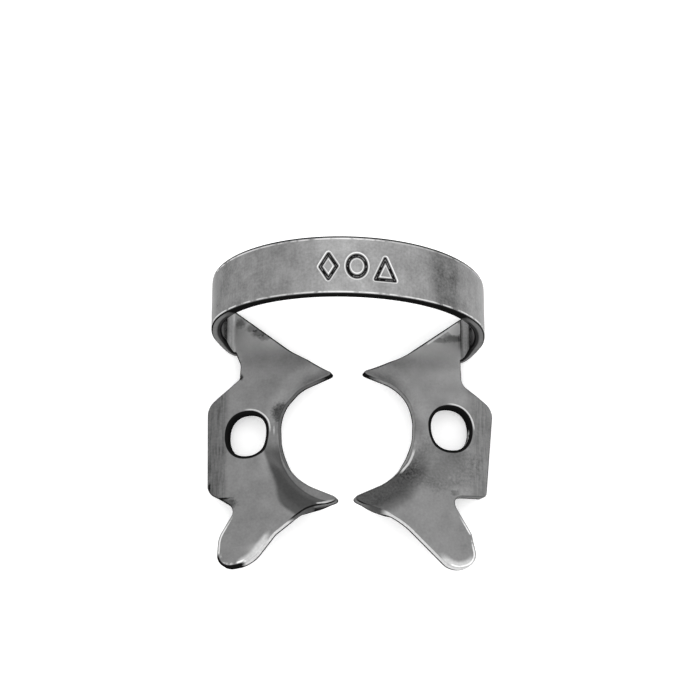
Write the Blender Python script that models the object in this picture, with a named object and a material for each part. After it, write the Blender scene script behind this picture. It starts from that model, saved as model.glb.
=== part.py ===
import bpy
import math
import numpy as np
from mathutils.geometry import delaunay_2d_cdt

# Rubber dam clamp, one stamped and folded piece of spring steel. Lengths in millimetres, angles in degrees.
# Blank coordinates: s runs along the strip from the crown of the bow, v runs from front to back.

# Sheet
SHEET = 0.90
EDGE_BREAK = 0.13

# Bow, an arch of constant radius joined to each jaw by a tight root bend, over which the strip steps back.
# The strip lies a little askew, further forward on the right.
ROOT_BEND_START = 9.86
ROOT_BEND_RADIUS = 1.10
JAW_SLOPE = 16.0
BOW_START_ANGLE = 78.0
BOW_LEAN = -1.3
BOW_CROWN_WIDTH = 5.05
BOW_ROOT_REAR = 12.02
BOW_ROOT_FRONT = 8.14
BOW_SET_BACK = 1.10
BOW_SHOULDER_BACK = 0.30
BOW_SHOULDER_RUN = 6.00
BOW_SKEW = 0.34

# Forceps holes
HOLE_HALF_WIDTH = 1.68
HOLE_HALF_LENGTH = 1.92
HOLE_SQUARENESS = 0.88
HOLE_OUT_RIGHT = 8.88
HOLE_OUT_LEFT = 8.75
HOLE_BACK_RIGHT = 1.41
HOLE_BACK_LEFT = 0.88

# Formed rim of the tooth gap: the sheet steps down across a ring, more at the front prongs
RIM_CENTRE = 0.20
RIM_OUTER_RADIUS = 7.90
RIM_INNER_RADIUS = 6.10
RIM_STEP_FRONT = 0.75
RIM_STEP_REAR = 0.25
RIM_FADE = 2.50

# Outer wing flange, bent further down
FLANGE_START = 10.70
FLANGE_BEND_WIDTH = 0.80
FLANGE_ANGLE = 12.0
WING_REAR_END = 7.00

# Pose on the table: the piece leans back until the root bends and the wing corners touch
REST_PITCH = 6.2

# Jaw outlines seen from above, as corners from the neck round to the rear root corner:
# distance from the middle, distance back, corner radius
RIGHT_JAW = (
    (9.95, 5.60, 0.95),
    (12.66, 3.60, 1.35),
    (11.92, -4.55, 0.46),
    (8.72, -4.65, 0.72),
    (10.62, -7.91, 0.60),
    (11.16, -10.60, 1.26),
    (8.91, -11.27, 1.54),
    (4.62, -7.12, 5.80),
    (0.15, -5.28, 0.36),
    (3.80, -3.40, 5.20),
    (5.62, -0.66, 4.60),
    (5.77, 2.82, 3.64),
    (4.40, 4.88, 3.20),
    (0.92, 6.00, 0.29),
    (4.66, 7.60, 6.00),
)
LEFT_JAW = (
    (9.40, 7.35, 0.80),
    (9.47, 6.05, 0.35),
    (12.25, 3.75, 1.33),
    (12.12, -4.10, 1.10),
    (9.65, -5.72, 0.78),
    (11.11, -8.20, 2.20),
    (11.25, -11.10, 1.60),
    (8.33, -10.72, 2.60),
    (6.30, -8.16, 1.00),
    (3.75, -6.25, 5.00),
    (0.38, -5.38, 0.36),
    (4.05, -3.60, 5.20),
    (5.82, -1.30, 4.60),
    (5.98, 2.75, 4.20),
    (4.17, 4.74, 2.52),
    (1.12, 5.88, 0.25),
    (4.90, 8.20, 5.00),
)

# How finely curves are divided
ARC_STEP = 14.0
ARC_LENGTH = 0.60
BOW_STEPS = 17
BEND_STEPS = 7
HOLE_STEPS = 32

for old in list(bpy.data.objects):
    bpy.data.objects.remove(old, do_unlink=True)

slope = math.radians(JAW_SLOPE)
start_angle = math.radians(BOW_START_ANGLE)
bend_length = ROOT_BEND_RADIUS * (start_angle + slope)
bend_out = ROOT_BEND_RADIUS * (math.sin(start_angle) + math.sin(slope))
bend_up = ROOT_BEND_RADIUS * (math.cos(slope) - math.cos(start_angle))
BOW_RADIUS = (ROOT_BEND_START + bend_out) / math.sin(start_angle)
arch_length = BOW_RADIUS * (math.pi - start_angle)
half_length = bend_length + arch_length
root_centre = (BOW_ROOT_REAR + BOW_ROOT_FRONT) / 2
root_width = BOW_ROOT_REAR - BOW_ROOT_FRONT


def ease(value):
    value = min(1.0, max(0.0, value))
    return value * value * (3 - 2 * value)


def jaw_height(x, y):
    """Height of the middle of the sheet over the start of the root bend."""
    height = (ROOT_BEND_START - x) * math.tan(slope)
    reach = math.hypot(x, y - RIM_CENTRE)
    front = RIM_STEP_FRONT * ease((RIM_CENTRE - y) / RIM_FADE)
    rear = RIM_STEP_REAR * ease((y - RIM_CENTRE) / RIM_FADE)
    height -= (front + rear) * ease((RIM_OUTER_RADIUS - reach) / (RIM_OUTER_RADIUS - RIM_INNER_RADIUS))
    past = x - FLANGE_START
    if past > 0 and y < WING_REAR_END:
        bent = min(past, FLANGE_BEND_WIDTH)
        fall = bent * bent / (2 * FLANGE_BEND_WIDTH) + past - bent
        height -= math.tan(math.radians(FLANGE_ANGLE)) * fall
    return height


def middle(s, v):
    """The middle of the sheet at a point of the blank, folded. The wings, in front of the root, stay flat."""
    side = 1.0 if s >= 0 else -1.0
    run = half_length - abs(s)
    if run <= 0 or v < WING_REAR_END:
        x = ROOT_BEND_START + run
        return np.array((side * x, v, jaw_height(x, v)))
    if run < bend_length:
        angle = run / ROOT_BEND_RADIUS - slope
        x = ROOT_BEND_START + ROOT_BEND_RADIUS * (math.sin(angle) + math.sin(slope))
        z = ROOT_BEND_RADIUS * (math.cos(slope) - math.cos(angle))
    else:
        angle = start_angle + (run - bend_length) / BOW_RADIUS
        x = BOW_RADIUS * math.sin(angle)
        z = bend_up + BOW_RADIUS * (math.cos(start_angle) - math.cos(angle))
    lean = math.radians(BOW_LEAN) * ease(run / (2 * bend_length))
    back = v - root_centre
    y = root_centre + back * math.cos(lean) + z * math.sin(lean)
    return np.array((side * x, y, z * math.cos(lean) - back * math.sin(lean)))


def folded(s, v, offset):
    """A folded point this far from the middle of the sheet, positive towards the outside of the bow."""
    small = 0.001
    along = middle(s + small, v) - middle(s - small, v)
    across = middle(s, v + small) - middle(s, v - small)
    normal = np.cross(along, across)
    return middle(s, v) + normal * (offset / np.linalg.norm(normal))


def rounded(corners):
    """Points of an open chain of corners, each one rounded to its radius."""
    points = [corners[0][:2]]
    for before, corner, after in zip(corners, corners[1:], corners[2:]):
        here = np.array(corner[:2])
        back = np.array(before[:2]) - here
        ahead = np.array(after[:2]) - here
        long_back = np.linalg.norm(back)
        long_ahead = np.linalg.norm(ahead)
        back = back / long_back
        ahead = ahead / long_ahead
        inside = math.acos(float(back @ ahead))
        reach = min(corner[2] / math.tan(inside / 2), 0.49 * long_back, 0.49 * long_ahead)
        radius = reach * math.tan(inside / 2)
        centre = here + (back + ahead) / np.linalg.norm(back + ahead) * radius / math.sin(inside / 2)
        first = here + back * reach - centre
        start = math.atan2(first[1], first[0])
        turn = math.copysign(math.pi - inside, back[0] * ahead[1] - back[1] * ahead[0]) * -1
        steps = max(2, round(abs(math.degrees(turn)) / ARC_STEP), round(abs(turn) * radius / ARC_LENGTH))
        for step in range(steps + 1):
            angle = start + turn * step / steps
            points.append((centre[0] + radius * math.cos(angle), centre[1] + radius * math.sin(angle)))
    points.append(corners[-1][:2])
    return points


def strip_edge(run, side):
    """Front and rear edges of the strip, this far along it from the start of the root bend on this side."""
    turn = math.pi / 2 * run / half_length
    width = root_width + (BOW_CROWN_WIDTH - root_width) * math.sin(turn) ** 0.8
    centre = root_centre - side * BOW_SKEW * math.cos(turn)
    centre += BOW_SET_BACK * ease(run / bend_length)
    centre += BOW_SHOULDER_BACK * ease((run - bend_length) / BOW_SHOULDER_RUN)
    return centre - width / 2, centre + width / 2


def jaw_points(jaw, side):
    """Blank points of a jaw outline on this side, from the front root corner to the rear one."""
    root_front, root_rear = strip_edge(0.0, side)
    corners = ((ROOT_BEND_START, root_front, 0.0), *jaw, (ROOT_BEND_START, root_rear, 0.0))
    return [(side * (half_length + ROOT_BEND_START - x), y) for x, y in rounded(corners)]


bend_runs = [bend_length * step / BEND_STEPS for step in range(1, BEND_STEPS + 1)]
arch_runs = [bend_length + arch_length * step / BOW_STEPS for step in range(1, BOW_STEPS + 1)]
runs = bend_runs + arch_runs

outline = []
for run in reversed(runs):
    outline.append((half_length - run, strip_edge(run, 1)[0]))
outline += jaw_points(RIGHT_JAW, 1)
for run in runs:
    outline.append((half_length - run, strip_edge(run, 1)[1]))
for run in reversed(runs[:-1]):
    outline.append((run - half_length, strip_edge(run, -1)[1]))
outline += reversed(jaw_points(LEFT_JAW, -1))
for run in runs[:-1]:
    outline.append((run - half_length, strip_edge(run, -1)[0]))

loops = [outline]
for side, out, back in ((1, HOLE_OUT_RIGHT, HOLE_BACK_RIGHT), (-1, HOLE_OUT_LEFT, HOLE_BACK_LEFT)):
    hole = []
    for step in range(HOLE_STEPS):
        angle = -math.tau * step / HOLE_STEPS
        wide = math.copysign(abs(math.cos(angle)) ** HOLE_SQUARENESS, math.cos(angle))
        long = math.copysign(abs(math.sin(angle)) ** HOLE_SQUARENESS, math.sin(angle))
        x = out + HOLE_HALF_WIDTH * wide
        y = back + HOLE_HALF_LENGTH * long
        hole.append((side * (half_length + ROOT_BEND_START - x), y))
    loops.append(hole)


def tidy_loop(loop, solid_inside):
    """The loop without repeated points, turned so that the sheet is on its left."""
    kept = []
    for point in loop:
        if not kept or math.dist(point, kept[-1]) > 0.02:
            kept.append(point)
    if math.dist(kept[0], kept[-1]) < 0.02:
        kept.pop()
    points = np.array(kept)
    following = np.roll(points, -1, axis=0)
    area = np.sum(points[:, 0] * following[:, 1] - following[:, 0] * points[:, 1])
    return points if (area > 0) == solid_inside else points[::-1]


def inset(points, distance):
    """The loop moved into the sheet by this distance."""
    back = np.roll(points, 1, axis=0) - points
    ahead = np.roll(points, -1, axis=0) - points
    back /= np.linalg.norm(back, axis=1)[:, None]
    ahead /= np.linalg.norm(ahead, axis=1)[:, None]
    left = np.stack((-ahead[:, 1], ahead[:, 0]), axis=1)
    left_back = np.stack((back[:, 1], -back[:, 0]), axis=1)
    normal = left + left_back
    normal /= np.linalg.norm(normal, axis=1)[:, None]
    share = np.sum(normal * left, axis=1)
    return points + normal * (distance / np.maximum(share, 0.5))[:, None]


loops = [tidy_loop(loop, number == 0) for number, loop in enumerate(loops)]
inner_loops = [inset(loop, EDGE_BREAK) for loop in loops]


def inside(point, loop):
    x, y = point
    following = np.roll(loop, -1, axis=0)
    crosses = (loop[:, 1] > y) != (following[:, 1] > y)
    rise = np.where(following[:, 1] == loop[:, 1], 1.0, following[:, 1] - loop[:, 1])
    at = loop[:, 0] + (y - loop[:, 1]) * (following[:, 0] - loop[:, 0]) / rise
    return bool(np.sum(crosses & (x < at)) % 2)


def on_ring(side, radius, degrees):
    """A point of a jaw on a ring round the middle of the tooth gap."""
    angle = math.radians(degrees)
    return side, radius * math.cos(angle), RIM_CENTRE + radius * math.sin(angle)


# Points inside the jaws: rings across the formed rim, and columns across the flange bend
extra = []
for side in (1, -1):
    for radius in np.linspace(RIM_INNER_RADIUS, RIM_OUTER_RADIUS, 5):
        for degrees in range(-88, 90, 8):
            extra.append(on_ring(side, radius, degrees))
    for x in (FLANGE_START, FLANGE_START + FLANGE_BEND_WIDTH / 2, FLANGE_START + FLANGE_BEND_WIDTH):
        for y in np.arange(-4.0, 5.0, 1.0):
            extra.append((side, x, y))
    for radius in (3.4, 4.3, 5.2):
        for degrees in (*range(-88, -40, 8), *range(48, 90, 8)):
            extra.append(on_ring(side, radius, degrees))
edge_starts = np.concatenate(inner_loops)
edge_runs = np.concatenate([np.roll(loop, -1, axis=0) for loop in inner_loops]) - edge_starts
grid = []
for side, x, y in extra:
    point = (side * (half_length + ROOT_BEND_START - x), y)
    if not inside(point, inner_loops[0]) or any(inside(point, loop) for loop in inner_loops[1:]):
        continue
    along = np.sum((point - edge_starts) * edge_runs, axis=1) / np.sum(edge_runs * edge_runs, axis=1)
    nearest = edge_starts + edge_runs * np.clip(along, 0, 1)[:, None]
    if np.min(np.linalg.norm(nearest - point, axis=1)) < 0.22:
        continue
    grid.append(point)

flat = [tuple(point) for loop in inner_loops for point in loop]
edges = []
start = 0
for loop in inner_loops:
    count = len(loop)
    edges += [(start + step, start + (step + 1) % count) for step in range(count)]
    start += count
# Cross lines of the bow keep its facets square to the strip
first = {}
for index, (s, v) in enumerate(inner_loops[0]):
    if abs(s) < half_length - 0.05 and v > WING_REAR_END:
        first.setdefault(round(s, 1), []).append(index)
for ends in first.values():
    if len(ends) == 2:
        edges.append(tuple(ends))
result = delaunay_2d_cdt(flat + grid, edges, [], 0, 1e-7)
sheet_points = [tuple(point) for point in result[0]]
sheet_faces = []
for face in result[2]:
    centre = np.mean([sheet_points[corner] for corner in face], axis=0)
    if inside(centre, inner_loops[0]) and not any(inside(centre, loop) for loop in inner_loops[1:]):
        sheet_faces.append(tuple(face))
origin = {}
for index, sources in enumerate(result[3]):
    for source in sources:
        origin[source] = index

half = SHEET / 2
vertices = [folded(s, v, half) for s, v in sheet_points]
vertices += [folded(s, v, -half) for s, v in sheet_points]
below = len(sheet_points)
faces = []
for face in sheet_faces:
    a, b, c = face
    first_edge = np.subtract(sheet_points[b], sheet_points[a])
    second_edge = np.subtract(sheet_points[c], sheet_points[a])
    if first_edge[0] * second_edge[1] - first_edge[1] * second_edge[0] < 0:
        b, c = c, b
    faces.append((a, b, c))
    faces.append((below + a, below + c, below + b))
start = 0
for loop in loops:
    count = len(loop)
    upper = len(vertices)
    vertices += [folded(s, v, half - EDGE_BREAK) for s, v in loop]
    lower = len(vertices)
    vertices += [folded(s, v, EDGE_BREAK - half) for s, v in loop]
    for step in range(count):
        after = (step + 1) % count
        top = (origin[start + step], origin[start + after])
        faces.append((top[0], upper + step, upper + after, top[1]))
        faces.append((upper + step, lower + step, lower + after, upper + after))
        faces.append((lower + step, below + top[0], below + top[1], lower + after))
    start += count

# Lean back onto the table, then stand on the floor over the middle of the frame
pitch = math.radians(REST_PITCH)
points = np.array(vertices)
leaned_back = points[:, 1] * math.cos(pitch) + points[:, 2] * math.sin(pitch)
leaned_up = points[:, 2] * math.cos(pitch) - points[:, 1] * math.sin(pitch)
turned = np.stack((points[:, 0], leaned_back, leaned_up), axis=1)
turned -= ((turned.max(axis=0) + turned.min(axis=0)) / 2) * (1, 1, 0)
turned[:, 2] -= turned[:, 2].min()

mesh = bpy.data.meshes.new("clamp")
mesh.from_pydata((turned / 1000).tolist(), [], faces)
mesh.validate()
clamp = bpy.data.objects.new("clamp", mesh)
bpy.context.scene.collection.objects.link(clamp)
mesh.shade_smooth()
mesh.set_sharp_from_angle(angle=math.radians(28))

steel = bpy.data.materials.new("spring_steel")
steel.use_nodes = True
shader = steel.node_tree.nodes["Principled BSDF"]
shader.inputs["Base Color"].default_value = (0.235, 0.235, 0.235, 1)
shader.inputs["Metallic"].default_value = 0.85
shader.inputs["Roughness"].default_value = 0.42
mesh.materials.append(steel)
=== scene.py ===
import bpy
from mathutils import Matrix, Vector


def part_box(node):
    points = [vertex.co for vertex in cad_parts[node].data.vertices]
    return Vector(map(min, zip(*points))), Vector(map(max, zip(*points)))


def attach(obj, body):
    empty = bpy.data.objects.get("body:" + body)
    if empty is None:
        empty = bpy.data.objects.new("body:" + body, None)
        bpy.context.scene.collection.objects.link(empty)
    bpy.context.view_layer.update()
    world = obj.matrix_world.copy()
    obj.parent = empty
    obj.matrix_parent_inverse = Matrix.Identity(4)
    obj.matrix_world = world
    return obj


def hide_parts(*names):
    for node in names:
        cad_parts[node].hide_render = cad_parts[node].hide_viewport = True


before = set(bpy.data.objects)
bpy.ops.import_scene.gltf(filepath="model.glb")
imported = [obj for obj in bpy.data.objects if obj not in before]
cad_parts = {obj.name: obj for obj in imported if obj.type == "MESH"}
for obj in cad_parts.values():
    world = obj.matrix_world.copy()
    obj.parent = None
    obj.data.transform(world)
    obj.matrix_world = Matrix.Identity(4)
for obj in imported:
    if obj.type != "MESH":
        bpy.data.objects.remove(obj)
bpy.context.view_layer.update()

import math
import bmesh
import bpy
import numpy as np
from mathutils import Vector

# Camera
# It looks down on the clamp from above and a little in front, 180 mm away. The
# bow is at the top of the picture, and the clamp lies below the middle of it.
LOOK_ANGLE = math.radians(79.2)
LOOK_DISTANCE = 0.180
LOOK_AT = Vector((0, 0, 0.002))

look_from = LOOK_AT + LOOK_DISTANCE * Vector((0, -math.cos(LOOK_ANGLE), math.sin(LOOK_ANGLE)))
turn = (LOOK_AT - look_from).to_track_quat("-Z", "Y").to_euler()
bpy.ops.object.camera_add(location=look_from, rotation=turn)
camera = bpy.context.object
camera.name = "camera"
camera.data.lens = 105.5
camera.data.sensor_width = 36
camera.data.shift_y = 0.1037
camera.data.clip_start = 0.005
camera.data.clip_end = 20
bpy.context.scene.camera = camera

# Blank of the clamp
# The clamp is one piece of spring steel. A press tool stamps the flat blank out of
# sheet: a strip with a jaw at each end. In millimetres, s runs along it from the crown
# of the bow, v from front to back, and z out of the bow, which is down on the jaws.
SHEET = 0.90
EDGE_ROUND = 0.13
ROOT_BEND_START = 9.86
ROOT_BEND_RADIUS = 1.10
JAW_SLOPE = math.radians(16)
BOW_START_ANGLE = math.radians(78)
BOW_CROWN_WIDTH = 5.05
BOW_TAPER = 0.8
BOW_ROOT_REAR = 12.02
BOW_ROOT_FRONT = 8.14
BOW_SET_BACK = 1.10
BOW_SHOULDER_BACK = 0.30
BOW_SHOULDER_RUN = 6.00
BOW_SKEW = 0.34

# How finely the outline is divided, and how much of a side one rounding may take
ARC_STEP = math.radians(9)
ARC_LENGTH = 0.20
FEWEST_STEPS = 4
STRIP_POINTS = 75
SIDE_SHARE = 0.49

# Corners of each jaw from the neck round to the rear of the root: distance from
# the middle, distance back, radius
RIGHT_JAW = (
    (9.95, 5.60, 0.95),
    (12.66, 3.60, 1.35),
    (11.92, -4.55, 0.46),
    (8.72, -4.65, 0.72),
    (10.62, -7.91, 0.60),
    (11.16, -10.60, 1.26),
    (8.91, -11.27, 1.54),
    (4.62, -7.12, 5.80),
    (0.15, -5.28, 0.36),
    (3.80, -3.40, 5.20),
    (5.62, -0.66, 4.60),
    (5.77, 2.82, 3.64),
    (4.40, 4.88, 3.20),
    (0.92, 6.00, 0.29),
    (4.66, 7.60, 6.00),
)
LEFT_JAW = (
    (9.40, 7.35, 0.80),
    (9.47, 6.05, 0.35),
    (12.25, 3.75, 1.33),
    (12.12, -4.10, 1.10),
    (9.65, -5.72, 0.78),
    (11.11, -8.20, 2.20),
    (11.25, -11.10, 1.60),
    (8.33, -10.72, 2.60),
    (6.30, -8.16, 1.00),
    (3.75, -6.25, 5.00),
    (0.38, -5.38, 0.36),
    (4.05, -3.60, 5.20),
    (5.82, -1.30, 4.60),
    (5.98, 2.75, 4.20),
    (4.17, 4.74, 2.52),
    (1.12, 5.88, 0.25),
    (4.90, 8.20, 5.00),
)

# A distance on the blank that counts as none
NEAR = 0.001

bend_length = ROOT_BEND_RADIUS * (BOW_START_ANGLE + JAW_SLOPE)
bend_out = ROOT_BEND_RADIUS * (math.sin(BOW_START_ANGLE) + math.sin(JAW_SLOPE))
bow_radius = (ROOT_BEND_START + bend_out) / math.sin(BOW_START_ANGLE)
half_length = bend_length + bow_radius * (math.pi - BOW_START_ANGLE)
root_centre = (BOW_ROOT_REAR + BOW_ROOT_FRONT) / 2


def ease(value):
    """0 below 0, 1 above 1, and a smooth step between them."""
    value = np.clip(value, 0, 1)
    return value * value * (3 - 2 * value)


def strip_edges(run, side):
    """Front and rear edge of the strip, this far along it from the root of this side."""
    turn = math.pi / 2 * run / half_length
    width = BOW_ROOT_REAR - BOW_ROOT_FRONT
    width += (BOW_CROWN_WIDTH - width) * math.sin(turn) ** BOW_TAPER
    centre = root_centre - side * BOW_SKEW * math.cos(turn)
    centre += BOW_SET_BACK * ease(run / bend_length)
    centre += BOW_SHOULDER_BACK * ease((run - bend_length) / BOW_SHOULDER_RUN)
    return centre - width / 2, centre + width / 2


def jaw_corners(side, jaw):
    """Places of a jaw's corners on the blank, with the reach and the steps of each rounding."""
    root_front, root_rear = strip_edges(0, side)
    chain = ((ROOT_BEND_START, root_front, 0), *jaw, (ROOT_BEND_START, root_rear, 0))
    corners = []
    for before, corner, after in zip(chain, chain[1:], chain[2:]):
        here = Vector(corner[:2])
        back = Vector(before[:2]) - here
        ahead = Vector(after[:2]) - here
        angle = back.angle(ahead)
        room = SIDE_SHARE * min(back.length, ahead.length)
        reach = min(corner[2] / math.tan(angle / 2), room)
        arc = (math.pi - angle) * reach * math.tan(angle / 2)
        by_turn = math.ceil((math.pi - angle) / ARC_STEP)
        steps = max(FEWEST_STEPS, by_turn, math.ceil(arc / ARC_LENGTH))
        corners.append((side * (half_length + ROOT_BEND_START - here.x), here.y, reach, steps))
    return corners


def pick(kind, test):
    """Selects what passes the test in the mesh that is being edited, and nothing else."""
    bpy.ops.mesh.select_mode(type=kind)
    bpy.ops.mesh.select_all(action="DESELECT")
    shape = bmesh.from_edit_mesh(bpy.context.object.data)
    for item in {"VERT": shape.verts, "FACE": shape.faces}[kind]:
        if test(item):
            item.select_set(True)
    shape.select_flush_mode()
    bmesh.update_edit_mesh(bpy.context.object.data)


right_corners = jaw_corners(1, RIGHT_JAW)
left_corners = jaw_corners(-1, LEFT_JAW)
runs = np.linspace(0, half_length, STRIP_POINTS)
outline = [(half_length - run, strip_edges(run, 1)[0]) for run in runs[::-1]]
outline += [corner[:2] for corner in right_corners]
outline += [(half_length - run, strip_edges(run, 1)[1]) for run in runs]
outline += [(run - half_length, strip_edges(run, -1)[1]) for run in runs[-2::-1]]
outline += [corner[:2] for corner in reversed(left_corners)]
outline += [(run - half_length, strip_edges(run, -1)[0]) for run in runs[:-1]]

bpy.ops.object.select_all(action="DESELECT")
bpy.ops.mesh.primitive_circle_add(vertices=len(outline), radius=1, fill_type="NGON")
clamp = bpy.context.object
clamp.name = "clamp_steel"
for vertex, (s, v) in zip(clamp.data.vertices, outline):
    vertex.co = (s, v, EDGE_ROUND - SHEET / 2)
bpy.ops.object.mode_set(mode="EDIT")
for s, v, reach, steps in right_corners + left_corners:
    pick("VERT", lambda vertex: (vertex.co.xy - Vector((s, v))).length < NEAR)
    bpy.ops.mesh.bevel(offset=reach, segments=steps, affect="VERTICES", clamp_overlap=False)
bpy.ops.mesh.select_all(action="SELECT")
wall_height = SHEET - 2 * EDGE_ROUND
bpy.ops.mesh.extrude_region_move(TRANSFORM_OT_translate={"value": (0, 0, wall_height)})
bpy.ops.mesh.select_all(action="SELECT")
bpy.ops.mesh.normals_make_consistent(inside=False)
bpy.ops.object.mode_set(mode="OBJECT")

# Forceps holes, each a slightly square oval pierced by the same press tool. Each place
# is its side, its distance from the middle and its distance back.
HOLE_HALF_WIDTH = 1.68
HOLE_HALF_LENGTH = 1.92
HOLE_SQUARENESS = 0.88
HOLE_PLACES = ((1, 8.88, 1.41), (-1, 8.75, 0.88))
HOLE_POINTS = 112
PUNCH_LENGTH = 4

for side, out, back in HOLE_PLACES:
    hole_place = (side * (half_length + ROOT_BEND_START - out), back, 0)
    bpy.ops.mesh.primitive_cylinder_add(
        vertices=HOLE_POINTS, radius=1, depth=PUNCH_LENGTH, location=hole_place
    )
    punch = bpy.context.object
    for vertex in punch.data.vertices:
        for axis in (0, 1):
            value = vertex.co[axis]
            vertex.co[axis] = math.copysign(abs(value) ** HOLE_SQUARENESS, value)
    bpy.ops.transform.resize(value=(HOLE_HALF_WIDTH, HOLE_HALF_LENGTH, 1))
    bpy.ops.object.select_all(action="DESELECT")
    clamp.select_set(True)
    bpy.context.view_layer.objects.active = clamp
    cut = clamp.modifiers.new("hole", "BOOLEAN")
    cut.operation = "DIFFERENCE"
    cut.solver = "EXACT"
    cut.object = punch
    bpy.ops.object.modifier_apply(modifier=cut.name)
    bpy.data.objects.remove(punch, do_unlink=True)

# Tumbling rounds every edge, on both faces of the sheet and in the holes. A narrow
# row of faces beside the rounding keeps the flat faces flat.
ROUND_STEPS = 4
FLAT_ROW = 0.025


def is_sheet_face(face, face_up):
    return face.normal.z * face_up > 0.9 and face.calc_center_median().z * face_up > 0


bpy.ops.object.mode_set(mode="EDIT")
for face_up in (1, -1):
    pick("FACE", lambda face: is_sheet_face(face, face_up))
    for step in range(ROUND_STEPS):
        angle = math.pi / 2 * step / ROUND_STEPS
        next_angle = math.pi / 2 * (step + 1) / ROUND_STEPS
        inward = EDGE_ROUND * (math.cos(angle) - math.cos(next_angle))
        upward = EDGE_ROUND * (math.sin(next_angle) - math.sin(angle))
        bpy.ops.mesh.inset(thickness=inward, depth=upward, use_even_offset=True)
    bpy.ops.mesh.inset(thickness=FLAT_ROW, depth=0)

# Cross lines let the sheet follow its bends, and lie closer at the tight ones
FACE_LINE = 0.28
BEND_LINE = 0.12
PAST_BEND = 0.20
LINES_FRONT = -11.20
LINES_REAR = 13.80
CUT_REACH = 0.004

bend_lines = np.arange(half_length - bend_length, half_length + PAST_BEND, BEND_LINE)
face_lines = [*np.arange(FACE_LINE / 2, half_length - bend_length, FACE_LINE)]
face_lines += [*np.arange(half_length + PAST_BEND, half_length + ROOT_BEND_START, FACE_LINE)]
for s in (*bend_lines, *face_lines):
    for side in (1, -1):
        bpy.ops.mesh.select_all(action="SELECT")
        bpy.ops.mesh.bisect(plane_co=(side * s, 0, 0), plane_no=(1, 0, 0), threshold=CUT_REACH)
for v in np.arange(LINES_FRONT, LINES_REAR, FACE_LINE):
    bpy.ops.mesh.select_all(action="SELECT")
    bpy.ops.mesh.bisect(plane_co=(0, v, 0), plane_no=(0, 1, 0), threshold=CUT_REACH)
bpy.ops.object.mode_set(mode="OBJECT")

# Punched marks
# Three small marks are punched into the crown of the bow while the blank is flat:
# a diamond, a ring and a triangle, each a narrow groove with a low burr beside it.
DIAMOND_PLACE = (-1.55, 11.39)
DIAMOND_HALF_WIDTH = 0.66
DIAMOND_HALF_HEIGHT = 1.08
RING_PLACE = (0.72, 11.37)
RING_RADIUS = 0.74
RING_TALLNESS = 1.22
TRIANGLE_PLACE = (3.02, 11.22)
TRIANGLE_HALF_WIDTH = 0.80
TRIANGLE_HALF_HEIGHT = 0.92
MARKS_HALF_WIDTH = 3.80
MARKS_HALF_HEIGHT = 1.75
MARK_CUTS = 4
GROOVE_DEPTH = 0.11
GROOVE_HALF_WIDTH = 0.13
BURR_HEIGHT = 0.022
BURR_OUT = 0.26
BURR_HALF_WIDTH = 0.10
FAR_OFF = 9.0


def stroke(points, corners):
    """Distance of each point of the blank from the closed line through the corners."""
    nearest = np.full(len(points), FAR_OFF)
    for start, end in zip(corners, corners[1:] + corners[:1]):
        start = np.array(start)
        run = np.array(end) - start
        along = np.clip((points - start) @ run / (run @ run), 0, 1)
        away = points - start - along[:, None] * run
        nearest = np.minimum(nearest, np.hypot(away[:, 0], away[:, 1]))
    return nearest


def in_marks(face):
    middle = face.calc_center_median()
    along = abs(middle.x - RING_PLACE[0])
    across = abs(middle.y - RING_PLACE[1])
    return is_sheet_face(face, 1) and along < MARKS_HALF_WIDTH and across < MARKS_HALF_HEIGHT


bpy.ops.object.mode_set(mode="EDIT")
pick("FACE", in_marks)
bpy.ops.mesh.subdivide(number_cuts=MARK_CUTS)
bpy.ops.object.mode_set(mode="OBJECT")
blank = np.empty(len(clamp.data.vertices) * 3)
clamp.data.vertices.foreach_get("co", blank)
blank = blank.reshape(-1, 3)
flat = blank[:, :2]
mark_s, mark_v = DIAMOND_PLACE
diamond = [(mark_s, mark_v - DIAMOND_HALF_HEIGHT), (mark_s + DIAMOND_HALF_WIDTH, mark_v)]
diamond += [(mark_s, mark_v + DIAMOND_HALF_HEIGHT), (mark_s - DIAMOND_HALF_WIDTH, mark_v)]
mark_s, mark_v = TRIANGLE_PLACE
triangle = [(mark_s - TRIANGLE_HALF_WIDTH, mark_v - TRIANGLE_HALF_HEIGHT)]
triangle += [(mark_s + TRIANGLE_HALF_WIDTH, mark_v - TRIANGLE_HALF_HEIGHT)]
triangle += [(mark_s, mark_v + TRIANGLE_HALF_HEIGHT)]
from_ring = (flat - RING_PLACE) / (1, RING_TALLNESS)
ring = np.abs(np.hypot(from_ring[:, 0], from_ring[:, 1]) - RING_RADIUS)
mark_gap = np.minimum(np.minimum(stroke(flat, diamond), stroke(flat, triangle)), ring)
outside = blank[:, 2] > SHEET / 2 - NEAR
groove = GROOVE_DEPTH * np.exp(-((mark_gap / GROOVE_HALF_WIDTH) ** 2))
burr = BURR_HEIGHT * np.exp(-(((mark_gap - BURR_OUT) / BURR_HALF_WIDTH) ** 2))
blank[outside, 2] += (burr - groove)[outside]

# Fold
# The press forms the jaws, steps the rim of the tooth gap down and bends the wing
# flanges. Then the strip is folded over: a tight bend at each root and the arch. The
# clamp lies on the table leaning back, on its root bends and wing corners.
BOW_LEAN = math.radians(-1.3)
RIM_CENTRE = 0.20
RIM_OUTER_RADIUS = 7.90
RIM_INNER_RADIUS = 6.10
RIM_STEP_FRONT = 0.75
RIM_STEP_REAR = 0.25
RIM_FADE = 2.50
FLANGE_START = 10.70
FLANGE_BEND_WIDTH = 0.80
FLANGE_ANGLE = math.radians(12)
WING_REAR_END = 7.00
REST_PITCH = math.radians(6.2)


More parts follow.
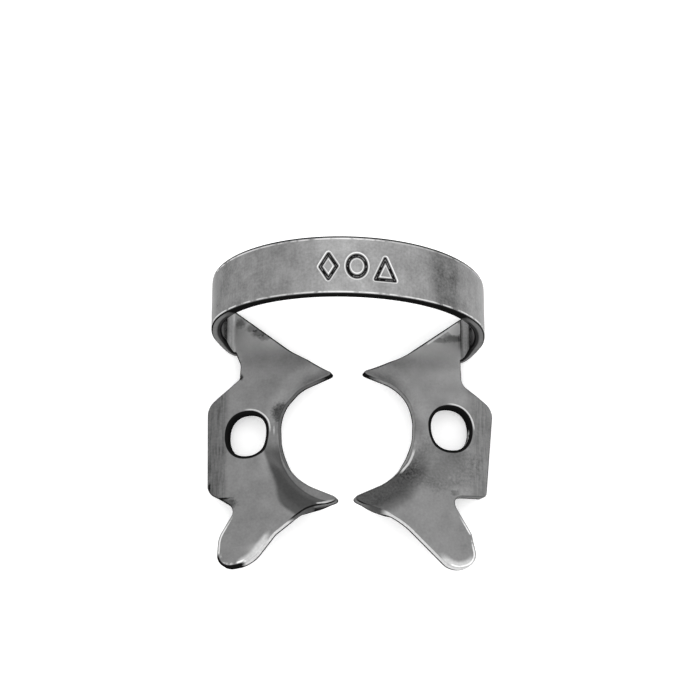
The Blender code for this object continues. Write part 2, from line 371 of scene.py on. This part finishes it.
def jaw_height(x, y):
    """Height of the middle of the sheet over the start of the root bend."""
    height = (ROOT_BEND_START - x) * math.tan(JAW_SLOPE)
    reach = np.hypot(x, y - RIM_CENTRE)
    step = RIM_STEP_FRONT * ease((RIM_CENTRE - y) / RIM_FADE)
    step += RIM_STEP_REAR * ease((y - RIM_CENTRE) / RIM_FADE)
    height -= step * ease((RIM_OUTER_RADIUS - reach) / (RIM_OUTER_RADIUS - RIM_INNER_RADIUS))
    past = np.maximum(x - FLANGE_START, 0)
    bent = np.minimum(past, FLANGE_BEND_WIDTH)
    drop = math.tan(FLANGE_ANGLE) * (bent * bent / (2 * FLANGE_BEND_WIDTH) + past - bent)
    return height - np.where(y < WING_REAR_END, drop, 0)


def middle_of_sheet(s, v):
    """Places of points of the blank after folding, in the middle of the sheet."""
    side = np.where(s >= 0, 1.0, -1.0)
    run = half_length - np.abs(s)
    jaw_x = ROOT_BEND_START + run
    angle = run / ROOT_BEND_RADIUS - JAW_SLOPE
    bend_x = ROOT_BEND_START + ROOT_BEND_RADIUS * (np.sin(angle) + math.sin(JAW_SLOPE))
    bend_z = ROOT_BEND_RADIUS * (math.cos(JAW_SLOPE) - np.cos(angle))
    angle = BOW_START_ANGLE + (run - bend_length) / bow_radius
    bend_up = ROOT_BEND_RADIUS * (math.cos(JAW_SLOPE) - math.cos(BOW_START_ANGLE))
    arch_x = bow_radius * np.sin(angle)
    arch_z = bend_up + bow_radius * (math.cos(BOW_START_ANGLE) - np.cos(angle))
    x = np.where(run < bend_length, bend_x, arch_x)
    z = np.where(run < bend_length, bend_z, arch_z)
    lean = BOW_LEAN * ease(run / (2 * bend_length))
    back = v - root_centre
    y = root_centre + back * np.cos(lean) + z * np.sin(lean)
    z = z * np.cos(lean) - back * np.sin(lean)
    on_jaw = (run <= 0) | (v < WING_REAR_END)
    x = np.where(on_jaw, jaw_x, x)
    y = np.where(on_jaw, v, y)
    z = np.where(on_jaw, jaw_height(jaw_x, v), z)
    return np.stack((side * x, y, z), axis=1)


blank_s, blank_v, blank_out = blank.T
along = middle_of_sheet(blank_s + NEAR, blank_v) - middle_of_sheet(blank_s - NEAR, blank_v)
across = middle_of_sheet(blank_s, blank_v + NEAR) - middle_of_sheet(blank_s, blank_v - NEAR)
normal = np.cross(along, across)
normal /= np.linalg.norm(normal, axis=1)[:, None]
folded = middle_of_sheet(blank_s, blank_v) + normal * blank_out[:, None]
level_x, level_y, level_z = folded.T
leaning_y = level_y * math.cos(REST_PITCH) + level_z * math.sin(REST_PITCH)
leaning_z = level_z * math.cos(REST_PITCH) - level_y * math.sin(REST_PITCH)
folded = np.stack((level_x, leaning_y, leaning_z), axis=1) / 1000

lowest, highest = (np.array(corner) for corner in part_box("clamp"))
made_size = folded.max(axis=0) - folded.min(axis=0)
folded = (folded - folded.min(axis=0)) * np.minimum(1, (highest - lowest) / made_size)
folded += lowest + (highest - lowest - np.ptp(folded, axis=0)) * (0.5, 0.5, 0)
clamp.data.vertices.foreach_set("co", folded.ravel())
clamp.data.update()
for face in clamp.data.polygons:
    face.use_smooth = True

# Places on the blank, and their distances from its edge and from the marks, stay on
# the mesh for the finish
EDGE_REACH = 2.0

places = clamp.data.attributes.new("blank", "FLOAT_VECTOR", "POINT")
places.data.foreach_set("vector", blank.ravel())
all_edges = np.array([edge.vertices[:] for edge in clamp.data.edges])
on_rim = np.abs(blank[:, 2] - (EDGE_ROUND - SHEET / 2)) < NEAR
rim_edges = all_edges[on_rim[all_edges].all(axis=1)]
edge_gap = np.full(len(flat), FAR_OFF)
for start, end in zip(flat[rim_edges[:, 0]], flat[rim_edges[:, 1]]):
    near = np.abs(flat - (start + end) / 2).max(axis=1) < EDGE_REACH
    edge_gap[near] = np.minimum(edge_gap[near], stroke(flat[near], [tuple(start), tuple(end)]))
for name, values in (("edge_gap", edge_gap), ("mark_gap", mark_gap)):
    kept = clamp.data.attributes.new(name, "FLOAT", "POINT")
    kept.data.foreach_set("value", values)

# Steel finish and painted light
# Hardened steel, tumbled to a soft grey with faint blotches and scuffs. Light and
# shade are painted into its tone: dark and bright reflections on its sheared walls,
# highlights along its edges, light at the roots and the crown, and shade under and
# inside the bow, round the holes and in creases. All places in the finish are
# millimetres on the blank, so it follows the sheet.
class Wire:
    """A socket of the finish. Arithmetic on wires and numbers adds Math nodes."""

    def __init__(self, tree, socket=None):
        self.tree = tree
        self.socket = socket

    def node(self, kind, settings, inputs, out=0):
        made = self.tree.nodes.new(kind)
        for name, value in settings.items():
            setattr(made, name, value)
        for name, value in inputs.items():
            if isinstance(value, Wire):
                self.tree.links.new(value.socket, made.inputs[name])
            else:
                made.inputs[name].default_value = value
        return Wire(self.tree, made.outputs[out])

    def math(self, operation, *values):
        return self.node("ShaderNodeMath", {"operation": operation}, dict(enumerate(values)))

    def __add__(self, other):
        return self.math("ADD", self, other)

    def __radd__(self, other):
        return self.math("ADD", other, self)

    def __sub__(self, other):
        return self.math("SUBTRACT", self, other)

    def __rsub__(self, other):
        return self.math("SUBTRACT", other, self)

    def __mul__(self, other):
        return self.math("MULTIPLY", self, other)

    def __rmul__(self, other):
        return self.math("MULTIPLY", other, self)

    def __truediv__(self, other):
        return self.math("DIVIDE", self, other)

    def size(self):
        return self.math("ABSOLUTE", self)

    def root(self):
        return self.math("SQRT", self)

    def at_least(self, other):
        return self.math("MAXIMUM", self, other)

    def at_most(self, other):
        return self.math("MINIMUM", self, other)

    def rise(self, low, high):
        """0 below low, 1 above high, and a smooth step between them."""
        inputs = {"Value": self, "From Min": low, "From Max": high}
        return self.node("ShaderNodeMapRange", {"interpolation_type": "SMOOTHSTEP"}, inputs)

    def fall(self, low, high):
        """1 below low, 0 above high."""
        return 1 - self.rise(low, high)

    def between(self, low, high, soft):
        """1 from low to high, fading to 0 over the soft distance outside them."""
        return self.rise(low - soft, low) * self.fall(high, high + soft)

    def noise(self, scale, detail):
        inputs = {"Vector": self, "Scale": scale, "Detail": detail, "Roughness": 0.55}
        return self.node("ShaderNodeTexNoise", {}, inputs)


METAL = 0.90
JAW_TONE = 0.180
BOW_TONE = 0.172
CROWN_TONE = 0.245
RIM_TONE = 0.064
# Tone of the painted highlights along the edges
EDGE_HIGHLIGHT_TONE = 0.75
SHEARED_TONE = 0.15
# Near black of the painted dark reflections on the walls and of the punched grooves
NEAR_BLACK_TONE = 0.005
BURR_TONE = 0.60
DARKEST_TONE = 0.004
LIGHTEST_TONE = 0.95

steel = bpy.data.materials.new("spring_steel")
steel.use_nodes = True
shader = steel.node_tree.nodes["Principled BSDF"]
shader.inputs["Metallic"].default_value = METAL
bench = Wire(steel.node_tree)
place = bench.node("ShaderNodeAttribute", {"attribute_name": "blank"}, {}, "Vector")
gap = bench.node("ShaderNodeAttribute", {"attribute_name": "edge_gap"}, {}, "Fac")
punch_gap = bench.node("ShaderNodeAttribute", {"attribute_name": "mark_gap"}, {}, "Fac")
s = place.node("ShaderNodeSeparateXYZ", {}, {0: place}, 0)
v = place.node("ShaderNodeSeparateXYZ", {}, {0: place}, 1)
out = place.node("ShaderNodeSeparateXYZ", {}, {0: place}, 2)
right = s.rise(-0.5, 0.5)
left = 1 - right
from_crown = s.size()
run = half_length - from_crown
x = run + ROOT_BEND_START
strip = run.rise(-0.02, 0.02) * v.rise(6.9, 7.1)
jaw = 1 - strip
outer_face = out.rise(-0.1, 0.1)
jaw_top = jaw * (1 - outer_face)

# Rolled and tumbled skin
blotch = place.noise(0.75, 3.0) - 0.5
cloud = place.noise(0.28, 2.0) - 0.5
speckle = place.noise(4.5, 4.0) - 0.5
grain = place.noise(22.0, 2.0) - 0.5
lengthwise = place.node("ShaderNodeMapping", {}, {"Vector": place, "Scale": (7.0, 0.45, 1.0)})
streak = lengthwise.noise(1.0, 4.0) - 0.5
tone = jaw * JAW_TONE + strip * BOW_TONE
tone = tone + blotch * 0.10 + speckle * 0.09 + grain * 0.04 + cloud * 0.04

# Bow: lighter at the crown, a painted highlight where the arch faces up, with a darker
# band down its right side, and painted shade inside near its ends. A painted shadow
# darkens the crease at the foot of the right bend.
BAND_DARKER = 0.075
LEFT_SIDE_DARKER = 0.080
BOW_FOOT_DARKER = 0.016
INSIDE_DARKER = 0.130
CREASE_DARKER = 0.14

# Painted highlight: lighter towards the crown, where the arch faces up
tone = tone + strip * from_crown.fall(2.0, 12.5) * (CROWN_TONE - BOW_TONE)
tone = tone + strip * (streak * 0.06 + speckle * 0.09 + blotch * 0.10)
tone = tone - strip * s.between(7.9, 9.6, 1.3) * (BAND_DARKER + streak * 0.05)
tone = tone - strip * left * outer_face * from_crown.rise(9.0, 13.5) * LEFT_SIDE_DARKER
tone = tone - strip * outer_face * from_crown.rise(14.0, 17.0) * BOW_FOOT_DARKER
inside = strip * (1 - outer_face)
# Painted shade inside the bow near its ends
inside_foot = inside * run.rise(1.40, 1.60) * run.fall(2.0, 8.0)
tone = tone - inside_foot * (INSIDE_DARKER + streak * 0.06)
# Painted shadow in the crease at the foot of the right bend
tone = tone - right * run.between(-0.14, 0.10, 0.10) * v.rise(8.6, 9.2) * CREASE_DARKER

# Roots: painted light on the jaws where the strip turns up under the bow and inside
# the tight bend, and the rear prongs darker
LEFT_ROOT_LIGHTER = 0.37
LEFT_NECK_LIGHTER = 0.038
RIGHT_ROOT_LIGHTER = 0.30
RIGHT_NECK_LIGHTER = 0.075
LEFT_PRONG_DARKER = 0.045
RIGHT_PRONG_DARKER = 0.085
LEFT_BEND_LIGHTER = 0.060
LEFT_FOLD_LIGHTER = 0.32
RIGHT_BEND_LIGHTER = 0.030

left_root = v.rise(7.4, 10.4) * LEFT_ROOT_LIGHTER + v.rise(5.0, 6.6) * LEFT_NECK_LIGHTER
right_root = v.rise(7.0, 9.2) * RIGHT_ROOT_LIGHTER + v.rise(4.8, 6.8) * RIGHT_NECK_LIGHTER
tone = tone + jaw_top * left * left_root
tone = tone + jaw_top * right * right_root
rear_prong = jaw_top * x.fall(3.6, 6.0) * v.rise(3.2, 4.6)
tone = tone - rear_prong * (left * LEFT_PRONG_DARKER + right * RIGHT_PRONG_DARKER)
inner_bend = inside * run.fall(1.30, 1.55)
left_bend = left * (LEFT_BEND_LIGHTER + run.fall(0.0, 0.7) * LEFT_FOLD_LIGHTER)
tone = tone + inner_bend * (left_bend + right * RIGHT_BEND_LIGHTER + streak * 0.12)

# Step of the tooth gap's rim, with painted shade where it slopes to face the gap. On the
# left it is a band that widens to the front, on the right it fades out over the jaw.
RIM_WIDENS = 0.80
LEFT_LIP_DARKER = 0.035
RIGHT_RIM_DARKER = 0.125

front = v.fall(-0.9, 0.5)
reach = (x * x + (v - RIM_CENTRE) * (v - RIM_CENTRE)).root()
widened = reach - v.fall(-6.0, -3.0) * RIM_WIDENS
left_rim = jaw * left * reach.rise(5.84, 5.98) * widened.fall(7.15, 7.50) * front
tone = tone + left_rim * (RIM_TONE + speckle * 0.03 + cloud * 0.04 - tone) * 0.95
tone = tone - jaw * left * reach.fall(5.88, 6.04) * front * LEFT_LIP_DARKER
right_rim = reach.fall(6.0, 7.8) * v.fall(-3.2, -0.4)
tone = tone - jaw * right * right_rim * (RIGHT_RIM_DARKER + blotch * 0.08)

# Wing flanges, a little darker, in fine streaks
FLANGE_DARKER = 0.030
LEFT_FLANGE_DARKER = 0.034

flange = jaw * x.rise(10.2, 10.9) * v.fall(5.0, 6.2) * v.rise(-5.6, -4.8)
tone = tone + flange * (streak * 0.18 - FLANGE_DARKER - left * LEFT_FLANGE_DARKER)

# Stains, lighter scuffs, painted shadow under the bow and in the crease of the left
# notch, and painted light and shade at the right root: side, distance out, distance
# back, half width, half length, and how much darker or lighter
SPOTS = (
    (-1, 5.80, 2.70, 0.85, 1.05, -0.12),
    # Painted shade in the crease of the left notch
    (-1, 10.60, -5.25, 1.10, 0.50, -0.09),
    (-1, 10.90, -4.75, 1.05, 0.10, -0.11),
    # A short scratch
    (-1, 11.90, -3.70, 0.10, 0.55, -0.10),
    # Painted shadow along the rear edge of the left root, under the bow
    (-1, 9.45, 11.25, 0.55, 0.50, -0.34),
    (-1, 8.45, 10.65, 0.55, 0.40, -0.30),
    (-1, 7.85, 10.20, 0.60, 0.45, -0.34),
    (-1, 7.20, 9.75, 0.55, 0.35, -0.26),
    # More stains and lighter scuffs
    (-1, 9.35, 6.20, 0.22, 0.30, -0.18),
    (-1, 10.40, 6.00, 0.50, 0.30, -0.09),
    (-1, 7.60, -9.40, 1.15, 0.60, 0.08),
    # Painted light and shade at the right root, under the bow
    (1, 9.35, 10.75, 0.75, 0.60, 1.10),
    (1, 9.20, 9.80, 0.95, 0.38, -0.26),
    (1, 7.90, 9.50, 0.95, 0.26, -0.22),
    # More stains and lighter scuffs
    (1, 8.00, -1.80, 3.20, 2.40, -0.055),
    (1, 9.90, -4.20, 1.30, 0.55, 0.04),
    (1, 9.20, -4.35, 0.45, 0.28, -0.08),
    (1, 7.40, 5.40, 1.70, 1.50, 0.03),
    (1, 9.60, 4.20, 1.10, 0.80, 0.03),
)
ragged = speckle * 0.9 + blotch * 0.6
for side, spot_x, spot_v, half_width, half_long, change in SPOTS:
    across_spot = (x - spot_x) / half_width
    along_spot = (v - spot_v) / half_long
    away = (across_spot * across_spot + along_spot * along_spot).root()
    spot = (away + ragged).fall(0.45, 1.25)
    tone = tone + spot * (right if side > 0 else left) * jaw * change

# Edges: a painted highlight just inside a thin painted dark outline, the light and
# shade of the rounded edge, which is missing where the sheared wall beside it is
# bright. The outline is a wider painted shadow behind the bow and round the holes, and
# widest in a black crescent of painted shade at the front of the left lobe.
BOW_FRONT_HIGHLIGHT = 0.60
BOW_REAR_HIGHLIGHT = 0.65
LOBE_HIGHLIGHT = 0.80
HOLE_HIGHLIGHT = 0.55
RIM_HIGHLIGHT = 0.55
PRONG_HIGHLIGHT = 0.60
ROOT_EDGE_LIGHTER = 1.60
OUTLINE_DARKENS = 0.86
THICK_LINE_DARKENS = 0.93
BLACK_LINE_DARKENS = 0.97

# Noise breaks the painted edge highlights into patches
highlight_patches = place.noise(1.3, 3.0).rise(0.34, 0.52)
bow_front = strip * outer_face * v.fall(11.2, 11.6)
bow_rear = strip * outer_face * v.rise(11.2, 11.6)
rear_highlight = highlight_patches * bow_rear * (1 - s.rise(0.5, 4.5) * 0.55)
lobe_front = jaw * v.fall(-7.4, -6.2) * x.rise(8.2, 9.0)
crescent = left * x.rise(8.6, 9.1) * v.fall(-10.1, -9.6)
edge_highlight = gap.between(0.14, 0.22, 0.04) * (1 - crescent) + gap.between(0.27, 0.38, 0.05) * crescent
edge_highlight = edge_highlight * highlight_patches * (bow_front * BOW_FRONT_HIGHLIGHT + lobe_front * LOBE_HIGHLIGHT)
edge_highlight = edge_highlight + gap.between(0.22, 0.28, 0.04) * rear_highlight * BOW_REAR_HIGHLIGHT
holes = 0
for side, hole_x, hole_v in HOLE_PLACES:
    to_right = (x - hole_x) * side
    to_rear = v - hole_v
    around = (to_right * to_right + to_rear * to_rear).fall(5.6, 6.4)
    hole = around * jaw * (right if side > 0 else left)
    lit_side = (to_right + to_rear).rise(1.9, 2.6)
    edge_highlight = edge_highlight + gap.between(0.33, 0.40, 0.05) * lit_side * hole * HOLE_HIGHLIGHT
    holes = hole + holes
# Painted reflections on the front of the lobes
left_band = left * x.between(7.1, 8.9, 0.7) * v.between(-10.4, -8.4, 0.7)
right_band = right * x.between(8.2, 10.8, 0.8) * v.fall(-10.6, -9.6)
edge_highlight = edge_highlight + gap.fall(0.35, 0.80) * jaw * (left_band + right_band) * (0.50 + speckle * 0.50)
rim_edge = jaw * right * x.fall(6.3, 6.8) * v.between(-2.4, -0.9, 0.5)
root_edge = jaw_top * right * x.between(7.2, 9.3, 0.4) * v.rise(8.4, 9.0)
prong_edge = jaw_top * left * x.between(1.2, 2.5, 0.3) * v.fall(-5.6, -5.3)
rim_prong_highlight = gap.between(0.14, 0.26, 0.06) * (rim_edge * RIM_HIGHLIGHT + prong_edge * PRONG_HIGHLIGHT)
# A painted highlight along the edge of the right root, under the bow
tone = tone + gap.between(0.17, 0.27, 0.05) * root_edge * ROOT_EDGE_LIGHTER
edge_highlight = edge_highlight.at_least(rim_prong_highlight).at_most(1.0)
tone = tone + edge_highlight * (EDGE_HIGHLIGHT_TONE - tone)
front_edge = jaw * v.fall(-6.1, -5.5)
front_bright = front_edge * (left * x.rise(4.5, 5.2) + right * x.rise(2.7, 3.5)) * (1 - crescent)
gap_edge = jaw * reach.fall(6.2, 6.5) * v.rise(-5.6, -5.2)
notch_edge = jaw * right * x.rise(8.9, 9.3) * v.between(-5.0, -4.2, 0.2)
prong_wall = front_edge * (left * x.between(3.0, 4.7, 0.2) + right * x.fall(2.6, 3.4))
pale_edge = (front_bright + gap_edge + notch_edge * 0.8 + prong_wall * right * 0.8) * (1 - outer_face)
# Painted shade: the thin dark outline of the rounded edges
outline_line = gap.fall(0.07, 0.12) * (1 - pale_edge * 0.9)
tone = tone - outline_line * tone * OUTLINE_DARKENS
# Painted shadow: a wider dark outline behind and under the bow
thick_line = bow_rear * gap.fall(0.13, 0.18)
thick_line = thick_line + (inside + jaw_top * v.rise(7.6, 8.6)) * gap.fall(0.10, 0.16)
tone = tone - thick_line * tone * THICK_LINE_DARKENS
# Painted shadow round the holes, and painted shade in the crescent
tone = tone - holes * gap.fall(0.24, 0.30) * tone * BLACK_LINE_DARKENS
tone = tone - crescent * gap.fall(0.17, 0.23) * tone * BLACK_LINE_DARKENS

# Sheared walls, with the reflections they show painted on: black as painted shade in the
# holes, along the bow and at the rear prong tips, grey along the tooth gap and nearly
# white on the front of the lobes as painted reflection
RIGHT_GAP_LIGHTER = 0.07
LEFT_GAP_DARKER = 0.05
WALL_PATCH_LIGHTER = 0.28
LOBE_FRONT_LIGHTER = 0.42

wall = gap.fall(0.015, 0.055)
wall_middle = out.size().fall(0.30, 0.36)
underline = (out - prong_wall * 0.18).rise(0.04, 0.16)
wall_middle = (wall_middle + pale_edge * (1 - wall_middle)) * (1 - jaw * underline)
rear_tip = jaw * x.fall(1.6, 3.0) * v.rise(4.0, 5.0)
prong_front = front_edge * left * x.fall(2.8, 3.1) * out.rise(-0.18, -0.04)
bow_middle = strip * from_crown.fall(11.4, 13.4)
bow_end = strip * from_crown.rise(11.4, 13.4) * out.fall(-0.12, 0.05)
grey_wall = (1 - bow_middle) * (1 - bow_end * 0.9) * (1 - holes) * (1 - rear_tip) * (1 - crescent)
grey_wall = grey_wall * (1 - prong_front * 0.95) * (1 - prong_wall * 0.55)
gap_change = right * RIGHT_GAP_LIGHTER - left * LEFT_GAP_DARKER
sheared = SHEARED_TONE * grey_wall + gap_edge * (1 - rear_tip) * gap_change
# A lighter patch on the outer wall of the right hole
wall_patch = holes * right * x.rise(9.8, 10.1) * v.between(0.0, 1.3, 0.3)
sheared = sheared + wall_patch * speckle.rise(-0.16, 0.10) * WALL_PATCH_LIGHTER
sheared = sheared * (1 + speckle * 0.9)
sheared = sheared + front_bright * (LOBE_FRONT_LIGHTER + speckle * 0.30)
sheared = NEAR_BLACK_TONE + sheared * wall_middle
tone = tone + wall * (sheared - tone)

# Punched marks: black in the groove, with glints at its bottom and a bright burr
# round it
GLINT_LIGHTER = 0.13

tone = tone + punch_gap.between(0.20, 0.24, 0.04) * (BURR_TONE - tone)
tone = tone + punch_gap.fall(0.09, 0.16) * (NEAR_BLACK_TONE - tone)
tone = tone + punch_gap.fall(0.02, 0.06) * speckle.rise(-0.05, 0.10) * GLINT_LIGHTER

# Bare steel: the tone is its grey with the painted light and shade, a little rougher on
# the sheared walls, over a fine relief left by rolling and tumbling
BLACK = (0.0, 0.0, 0.0, 1)
WHITE = (1.0, 1.0, 1.0, 1)
STEEL_ROUGHNESS = 0.44
RELIEF_DEPTH = 0.00003

tone = tone.at_least(DARKEST_TONE).at_most(LIGHTEST_TONE)
colour = tone.node("ShaderNodeMix", {"data_type": "RGBA"}, {0: tone, 6: BLACK, 7: WHITE}, 2)
steel.node_tree.links.new(colour.socket, shader.inputs["Base Color"])
roughness = STEEL_ROUGHNESS + speckle * 0.10 + blotch * 0.06 + wall * 0.20
steel.node_tree.links.new(roughness.socket, shader.inputs["Roughness"])
relief = blotch * 0.5 + speckle * 0.35 + grain * 0.15 + flange * streak * 0.5
bump = {"Strength": 0.40, "Distance": RELIEF_DEPTH, "Height": relief}
bumped = relief.node("ShaderNodeBump", {}, bump)
steel.node_tree.links.new(bumped.socket, shader.inputs["Normal"])

# Matt black, which the steel gives way to where its tone is darkest, so that the painted
# shade and the grooves read as black
MATT_BLACK = {"Base Color": (0.006, 0.006, 0.006, 1), "Roughness": 0.9, "Specular IOR Level": 0.0}

scale = bench.node("ShaderNodeBsdfPrincipled", {}, MATT_BLACK)
bare = Wire(steel.node_tree, shader.outputs["BSDF"])
mixed = scale.node("ShaderNodeMixShader", {}, {0: tone.fall(0.008, 0.034), 1: bare, 2: scale})
steel.node_tree.links.new(mixed.socket, steel.node_tree.nodes["Material Output"].inputs["Surface"])

clamp.data.materials.clear()
clamp.data.materials.append(steel)
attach(clamp, "root")
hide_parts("clamp")

# Table
# A plain white table top, much wider than the view, painted matt. Its paint is
# rolled on and very slightly uneven, and it glows a little, as a light table does.
TABLE_WIDTH = 3.0
TABLE_GLOW = 0.28

bpy.ops.object.select_all(action="DESELECT")
bpy.ops.mesh.primitive_plane_add(size=TABLE_WIDTH, location=(0, 0, 0))
table = bpy.context.object
table.name = "table_top"
paint = bpy.data.materials.new("white_paint")
paint.use_nodes = True
shader = paint.node_tree.nodes["Principled BSDF"]
shader.inputs["Roughness"].default_value = 0.9
shader.inputs["Emission Color"].default_value = WHITE
shader.inputs["Emission Strength"].default_value = TABLE_GLOW
bench = Wire(paint.node_tree)
place = bench.node("ShaderNodeTexCoord", {}, {}, "Object")
rolled = place.noise(90.0, 2.0)
mix = {0: rolled, 6: (0.945, 0.945, 0.945, 1), 7: (0.96, 0.96, 0.96, 1)}
colour = rolled.node("ShaderNodeMix", {"data_type": "RGBA"}, mix, 2)
paint.node_tree.links.new(colour.socket, shader.inputs["Base Color"])
table.data.materials.append(paint)

# Studio light
# A wide soft light stands over the table, a little behind the clamp, with a weaker
# one to the right, in a pale room that is darker towards the horizon. Each lamp is a
# name, a place and a width in metres, and a power in watts.
LAMPS = (
    ("overhead", (0.02, 0.10, 0.60), 0.60, 1.1),
    ("right_side", (0.55, 0.20, 0.30), 0.30, 0.25),
)
for name, lamp_place, width, power in LAMPS:
    turn = (-Vector(lamp_place)).to_track_quat("-Z", "Y").to_euler()
    bpy.ops.object.light_add(type="AREA", location=lamp_place, rotation=turn)
    lamp = bpy.context.object
    lamp.name = name
    lamp.data.size = width
    lamp.data.energy = power

room = bpy.data.worlds.new("room")
room.use_nodes = True
bench = Wire(room.node_tree)
way = bench.node("ShaderNodeTexCoord", {}, {}, "Generated")
height = way.node("ShaderNodeSeparateXYZ", {}, {0: way}, 2)
level = 0.94 + height.rise(0.0, 0.95) * 0.26
room.node_tree.links.new(level.socket, room.node_tree.nodes["Background"].inputs["Strength"])
room.node_tree.nodes["Background"].inputs["Color"].default_value = WHITE
bpy.context.scene.world = room
bpy.context.scene.view_settings.view_transform = "Standard"
